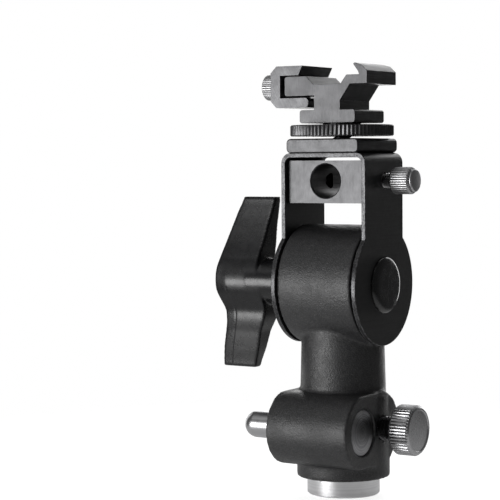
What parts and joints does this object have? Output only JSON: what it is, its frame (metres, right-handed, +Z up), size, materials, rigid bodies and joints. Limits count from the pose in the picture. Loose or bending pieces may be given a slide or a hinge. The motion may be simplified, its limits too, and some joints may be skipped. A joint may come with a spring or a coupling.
{
  "type": "umbrella swivel bracket",
  "caption": "Tilting light-stand bracket: a spigot socket with safety catch and lock knob, a T-lever tilt joint, an umbrella clamp and a swivelling accessory shoe with a sliding jaw.",
  "frame": {"origin": "on the stand socket's axis, at its open mouth (the bottom of the bare aluminium bush)", "axes": "+Z up along the socket, +X along the tilt axis towards the umbrella lock screw and the stand lock knob (the T lever is on -X), -Y the front where the safety catch is"},
  "size_m": [0.0752, 0.0452, 0.1426],
  "materials": {
    "cast_black": "rough black powder coat over a casting",
    "black_anodised": "satin black anodised, brushed",
    "black_strip": "satin black paint on steel strip",
    "bare_aluminium": "turned satin aluminium",
    "bright_steel": "bright knurled and turned steel",
    "black_steel": "black oxide steel",
    "black_nylon": "satin moulded nylon",
    "gloss_cap": "glossy moulded cap",
    "friction_fibre": "dark friction disc",
    "brass_insert": "turned brass",
    "spring_steel": "spring wire"
  },
  "bodies": {
    "housing": {"housing_casting": "cast_black", "socket_bush": "bare_aluminium", "catch_plug": "bare_aluminium", "catch_spring": "spring_steel", "friction_washer_left": "friction_fibre", "friction_washer_right": "friction_fibre"},
    "catch": {"catch_plunger": "bright_steel"},
    "stand_lock_screw": {"lock_screw": "black_steel"},
    "stand_lock_knob": {"lock_knob": "bright_steel"},
    "yoke": {"yoke_bracket": "black_strip", "pivot_bolt": "black_steel", "pivot_cap": "gloss_cap", "lever_washer": "black_steel", "umbrella_block": "black_anodised", "block_screw": "black_steel", "base_plate": "black_anodised", "shoe_stud": "black_steel"},
    "lever": {"lever_handle": "black_nylon", "lever_insert": "brass_insert"},
    "umbrella_lock_screw": {"umbrella_screw": "black_steel"},
    "umbrella_lock_knob": {"umbrella_knob": "bright_steel"},
    "ring_washer": {"ring_washer": "black_steel"},
    "lock_ring": {"knurled_ring": "black_anodised"},
    "shoe": {"shoe_body": "black_anodised"},
    "jaw": {"clamp_jaw": "black_anodised"},
    "jaw_thumbscrew": {"jaw_screw": "bright_steel", "jaw_knob": "bright_steel"}
  },
  "joints": [
    {"name": "tilt", "type": "hinge", "parent": "housing", "child": "yoke", "pos_m": [0, 0, 0.07], "axis": [1, 0, 0], "range_deg": [-120, 120]},
    {"name": "lever_turn", "type": "hinge", "parent": "yoke", "child": "lever", "pos_m": [0, 0, 0.07], "axis": [1, 0, 0], "range_deg": [-270, 0]},
    {"name": "catch_press", "type": "slide", "parent": "housing", "child": "catch", "axis": [1, 0, 0], "range_m": [0, 0.007], "stiffness_N_per_m": 400, "springref_m": -0.003, "deforming": ["catch_spring"]},
    {"name": "stand_lock_travel", "type": "slide", "parent": "housing", "child": "stand_lock_screw", "axis": [1, 0, 0], "range_m": [0, 0.00375]},
    {"name": "stand_lock_turn", "type": "hinge", "parent": "stand_lock_screw", "child": "stand_lock_knob", "pos_m": [0.0246, 0, 0.0228], "axis": [1, 0, 0], "range_deg": [0, 1080.5]},
    {"name": "umbrella_lock_travel", "type": "slide", "parent": "yoke", "child": "umbrella_lock_screw", "axis": [1, 0, 0], "range_m": [0, 0.004]},
    {"name": "umbrella_lock_turn", "type": "hinge", "parent": "umbrella_lock_screw", "child": "umbrella_lock_knob", "pos_m": [0.0229, 0.001, 0.1043], "axis": [1, 0, 0], "range_deg": [0, 1801]},
    {"name": "lock_ring_travel", "type": "slide", "parent": "yoke", "child": "ring_washer", "axis": [0, 0, 1], "range_m": [-0.0007, 0]},
    {"name": "lock_ring_turn", "type": "hinge", "parent": "ring_washer", "child": "lock_ring", "pos_m": [0, 0, 0.121], "axis": [0, 0, 1], "range_deg": [-199, 0]},
    {"name": "shoe_swivel", "type": "hinge", "parent": "yoke", "child": "shoe", "pos_m": [0, 0, 0.1233], "axis": [0, 0, 1], "continuous": true},
    {"name": "jaw_slide", "type": "slide", "parent": "shoe", "child": "jaw", "axis": [1, 0, 0], "range_m": [-0.003, 0.0015]},
    {"name": "jaw_screw_turn", "type": "hinge", "parent": "jaw", "child": "jaw_thumbscrew", "pos_m": [-0.0253, 0, 0.13575], "axis": [1, 0, 0], "range_deg": [-1544, 772.5]}
  ],
  "couplings": [
    {"joint": "stand_lock_turn", "follows": "stand_lock_travel", "rad_per_m": 5026.5},
    {"joint": "umbrella_lock_turn", "follows": "umbrella_lock_travel", "rad_per_m": 7854},
    {"joint": "lock_ring_turn", "follows": "lock_ring_travel", "rad_per_m": 4947.4},
    {"joint": "jaw_screw_turn", "follows": "jaw_slide", "rad_per_m": 8976}
  ]
}
